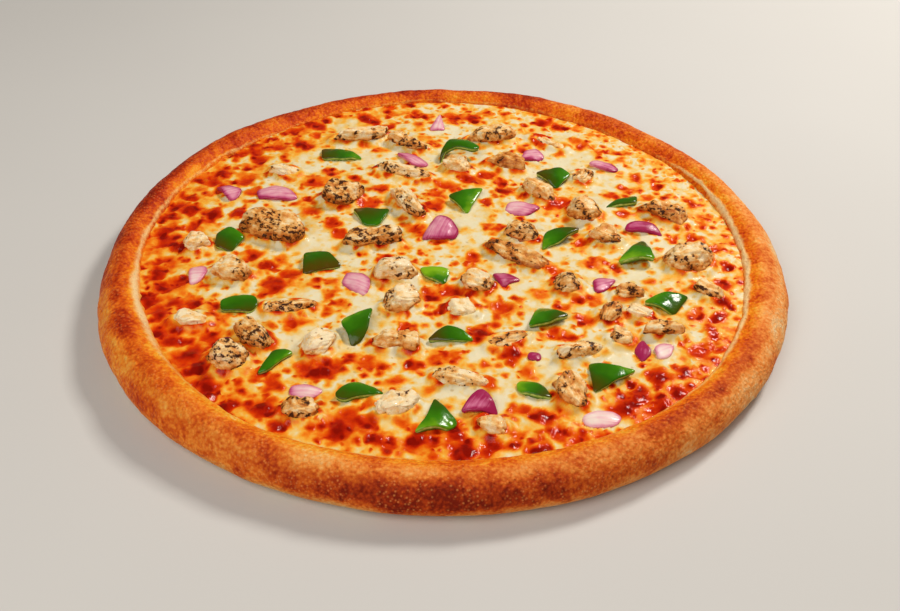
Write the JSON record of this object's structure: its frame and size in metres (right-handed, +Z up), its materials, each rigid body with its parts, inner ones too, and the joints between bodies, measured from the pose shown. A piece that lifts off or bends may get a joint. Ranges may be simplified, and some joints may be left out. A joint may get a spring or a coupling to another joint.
{
  "type": "pan pizza",
  "caption": "Whole round pan pizza with a thick browned rim, melted cheese over tomato sauce, and chicken, green pepper and red onion pieces on top.",
  "frame": {"origin": "centre of the flat underside, midway across the crust's outline", "axes": "+Z up, from the flat underside to the toppings; -Y is the front, the side nearest the camera in the picture"},
  "size_m": [0.2998, 0.2976, 0.0249],
  "materials": {
    "bread": "browned bread crust, fine-grained and matt, with pale flour specks",
    "sauce": "thin, wet and oily tomato sauce",
    "cheese": "melted cheese, cream with browned and oily orange-red spots",
    "chicken": "grilled chicken, beige with dark char marks",
    "pepper": "glossy green skin with paler cut edges",
    "onion": "smooth wet red onion, striped pink and white"
  },
  "bodies": {
    "root": {"crust": "bread", "sauce": "sauce", "cheese": "cheese", "chicken_01": "chicken", "chicken_02": "chicken", "chicken_03": "chicken", "chicken_04": "chicken", "chicken_05": "chicken", "chicken_06": "chicken", "chicken_07": "chicken", "chicken_08": "chicken", "chicken_09": "chicken", "chicken_10": "chicken", "chicken_11": "chicken", "chicken_12": "chicken", "chicken_13": "chicken", "chicken_14": "chicken", "chicken_15": "chicken", "chicken_16": "chicken", "chicken_17": "chicken", "chicken_18": "chicken", "chicken_19": "chicken", "chicken_20": "chicken", "chicken_21": "chicken", "chicken_22": "chicken", "chicken_23": "chicken", "chicken_24": "chicken", "chicken_25": "chicken", "chicken_26": "chicken", "chicken_27": "chicken", "chicken_28": "chicken", "chicken_29": "chicken", "chicken_30": "chicken", "pepper_01": "pepper", "pepper_02": "pepper", "pepper_03": "pepper", "pepper_04": "pepper", "pepper_05": "pepper", "pepper_06": "pepper", "pepper_07": "pepper", "pepper_08": "pepper", "pepper_09": "pepper", "pepper_10": "pepper", "pepper_11": "pepper", "pepper_12": "pepper", "pepper_13": "pepper", "pepper_14": "pepper", "pepper_15": "pepper", "pepper_16": "pepper", "pepper_17": "pepper", "pepper_18": "pepper", "pepper_19": "pepper", "onion_01": "onion", "onion_02": "onion", "onion_03": "onion", "onion_04": "onion", "onion_05": "onion", "onion_06": "onion", "onion_07": "onion", "onion_08": "onion"}
  },
  "joints": []
}
